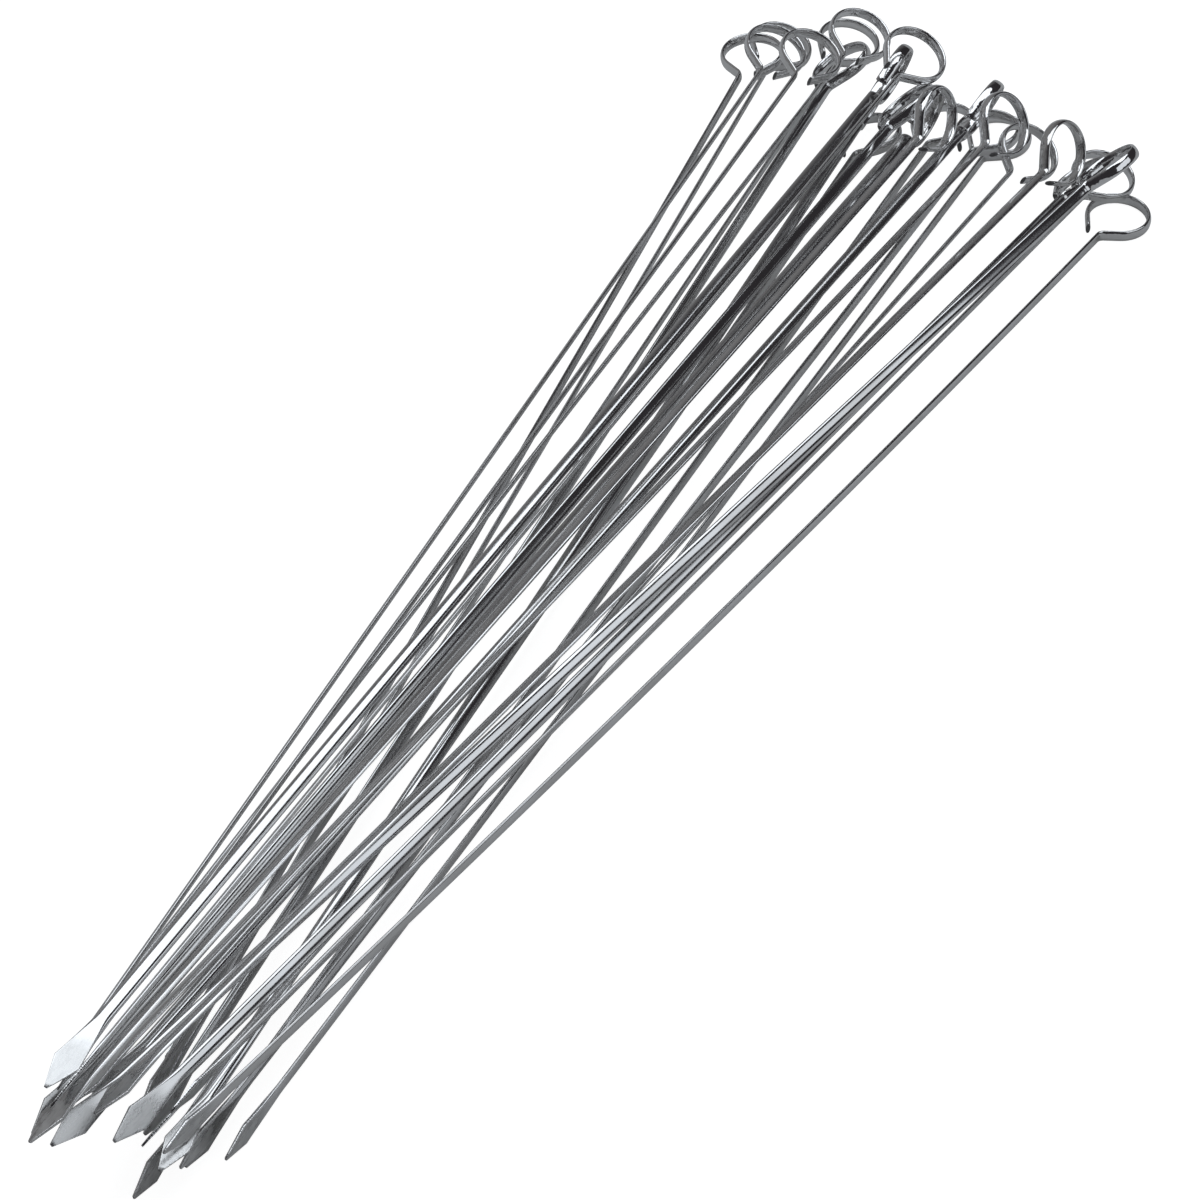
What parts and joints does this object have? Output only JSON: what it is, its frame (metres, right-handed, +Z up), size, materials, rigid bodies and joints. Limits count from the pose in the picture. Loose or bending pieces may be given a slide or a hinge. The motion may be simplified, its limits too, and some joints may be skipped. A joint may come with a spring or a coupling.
{
  "type": "skewer bundle",
  "caption": "Loose bundle of flat steel skewers, each with a pressed spear blade at one end and an open ring eye bent at the other.",
  "frame": {"origin": "middle of the bundle's footprint, on the surface it lies on", "axes": "+X along the skewers towards the ring eyes, +Z up"},
  "size_m": [0.5254, 0.1532, 0.0567],
  "materials": {
    "steel": "polished lengthwise"
  },
  "bodies": {
    "skewer_01": {"skewer_01": "steel"},
    "skewer_02": {"skewer_02": "steel"},
    "skewer_03": {"skewer_03": "steel"},
    "skewer_04": {"skewer_04": "steel"},
    "skewer_05": {"skewer_05": "steel"},
    "skewer_06": {"skewer_06": "steel"},
    "skewer_07": {"skewer_07": "steel"},
    "skewer_08": {"skewer_08": "steel"},
    "skewer_09": {"skewer_09": "steel"},
    "skewer_10": {"skewer_10": "steel"},
    "skewer_11": {"skewer_11": "steel"},
    "skewer_12": {"skewer_12": "steel"},
    "skewer_13": {"skewer_13": "steel"},
    "skewer_14": {"skewer_14": "steel"},
    "skewer_15": {"skewer_15": "steel"},
    "skewer_16": {"skewer_16": "steel"},
    "skewer_17": {"skewer_17": "steel"},
    "skewer_18": {"skewer_18": "steel"},
    "skewer_19": {"skewer_19": "steel"},
    "skewer_20": {"skewer_20": "steel"},
    "skewer_21": {"skewer_21": "steel"},
    "skewer_22": {"skewer_22": "steel"},
    "skewer_23": {"skewer_23": "steel"},
    "skewer_24": {"skewer_24": "steel"},
    "skewer_25": {"skewer_25": "steel"}
  },
  "joints": [
    {"name": "lift_02", "type": "slide", "parent": "skewer_01", "child": "skewer_02", "axis": [0, 0, 1], "range_m": [0, 0.05]},
    {"name": "lift_03", "type": "slide", "parent": "skewer_02", "child": "skewer_03", "axis": [0, 0, 1], "range_m": [0, 0.05]},
    {"name": "lift_04", "type": "slide", "parent": "skewer_03", "child": "skewer_04", "axis": [0, 0, 1], "range_m": [0, 0.05]},
    {"name": "lift_05", "type": "slide", "parent": "skewer_04", "child": "skewer_05", "axis": [0, 0, 1], "range_m": [0, 0.05]},
    {"name": "lift_06", "type": "slide", "parent": "skewer_05", "child": "skewer_06", "axis": [0, 0, 1], "range_m": [0, 0.05]},
    {"name": "lift_07", "type": "slide", "parent": "skewer_06", "child": "skewer_07", "axis": [0, 0, 1], "range_m": [0, 0.05]},
    {"name": "lift_08", "type": "slide", "parent": "skewer_07", "child": "skewer_08", "axis": [0, 0, 1], "range_m": [0, 0.05]},
    {"name": "lift_09", "type": "slide", "parent": "skewer_08", "child": "skewer_09", "axis": [0, 0, 1], "range_m": [0, 0.05]},
    {"name": "lift_10", "type": "slide", "parent": "skewer_09", "child": "skewer_10", "axis": [0, 0, 1], "range_m": [0, 0.05]},
    {"name": "lift_11", "type": "slide", "parent": "skewer_10", "child": "skewer_11", "axis": [0, 0, 1], "range_m": [0, 0.05]},
    {"name": "lift_12", "type": "slide", "parent": "skewer_11", "child": "skewer_12", "axis": [0, 0, 1], "range_m": [0, 0.05]},
    {"name": "lift_13", "type": "slide", "parent": "skewer_12", "child": "skewer_13", "axis": [0, 0, 1], "range_m": [0, 0.05]},
    {"name": "lift_14", "type": "slide", "parent": "skewer_13", "child": "skewer_14", "axis": [0, 0, 1], "range_m": [0, 0.05]},
    {"name": "lift_15", "type": "slide", "parent": "skewer_14", "child": "skewer_15", "axis": [0, 0, 1], "range_m": [0, 0.05]},
    {"name": "lift_16", "type": "slide", "parent": "skewer_15", "child": "skewer_16", "axis": [0, 0, 1], "range_m": [0, 0.05]},
    {"name": "lift_17", "type": "slide", "parent": "skewer_16", "child": "skewer_17", "axis": [0, 0, 1], "range_m": [0, 0.05]},
    {"name": "lift_18", "type": "slide", "parent": "skewer_17", "child": "skewer_18", "axis": [0, 0, 1], "range_m": [0, 0.05]},
    {"name": "lift_19", "type": "slide", "parent": "skewer_18", "child": "skewer_19", "axis": [0, 0, 1], "range_m": [0, 0.05]},
    {"name": "lift_20", "type": "slide", "parent": "skewer_19", "child": "skewer_20", "axis": [0, 0, 1], "range_m": [0, 0.05]},
    {"name": "lift_21", "type": "slide", "parent": "skewer_20", "child": "skewer_21", "axis": [0, 0, 1], "range_m": [0, 0.05]},
    {"name": "lift_22", "type": "slide", "parent": "skewer_21", "child": "skewer_22", "axis": [0, 0, 1], "range_m": [0, 0.05]},
    {"name": "lift_23", "type": "slide", "parent": "skewer_22", "child": "skewer_23", "axis": [0, 0, 1], "range_m": [0, 0.05]},
    {"name": "lift_24", "type": "slide", "parent": "skewer_23", "child": "skewer_24", "axis": [0, 0, 1], "range_m": [0, 0.05]},
    {"name": "lift_25", "type": "slide", "parent": "skewer_24", "child": "skewer_25", "axis": [0, 0, 1], "range_m": [0, 0.05]}
  ]
}
